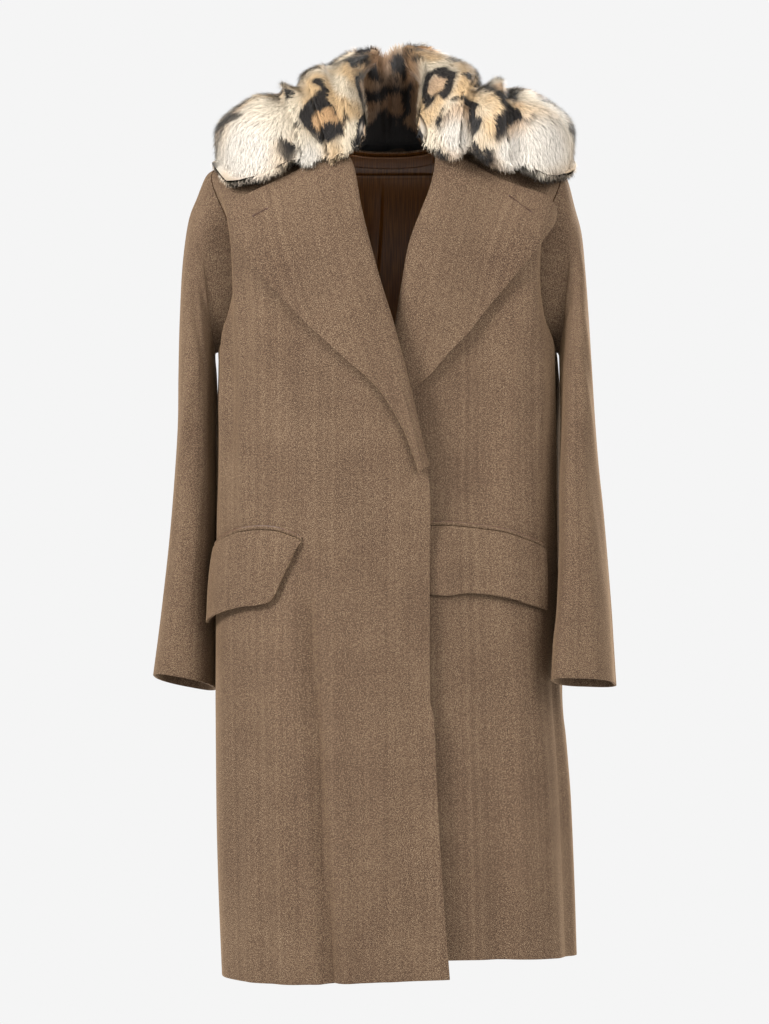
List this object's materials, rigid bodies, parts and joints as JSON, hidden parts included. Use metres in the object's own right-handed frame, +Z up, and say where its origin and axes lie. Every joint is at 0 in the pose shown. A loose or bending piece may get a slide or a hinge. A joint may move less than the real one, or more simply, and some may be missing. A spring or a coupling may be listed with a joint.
{
  "type": "wool coat",
  "caption": "Knee-length wool coat, filled out as if worn, with wide lapels, flap pockets and a gathered spotted fur collar.",
  "frame": {"origin": "midway between the two shoulder neck points, on the plane through the shoulder seams, at the height where the collar meets the shoulders", "axes": "+Z up the coat, -Y out of its front, +X to the wearer's left"},
  "size_m": [0.5833, 0.3196, 1.1887],
  "materials": {
    "wool": "brown heathered wool coating with a faint rib, matt",
    "fur": "soft cream and tan fur with dark spots",
    "lining": "smooth dark brown lining"
  },
  "bodies": {
    "root": {"front_right": "wool", "front_left": "wool", "back": "wool", "sleeve_front_right": "wool", "sleeve_back_right": "wool", "sleeve_front_left": "wool", "sleeve_back_left": "wool", "lapel_right": "wool", "lapel_left": "wool", "flap_right": "wool", "flap_left": "wool", "welt_right": "wool", "welt_left": "wool", "neck_facing": "wool", "fur_collar": "fur", "back_lining": "lining"}
  },
  "joints": []
}
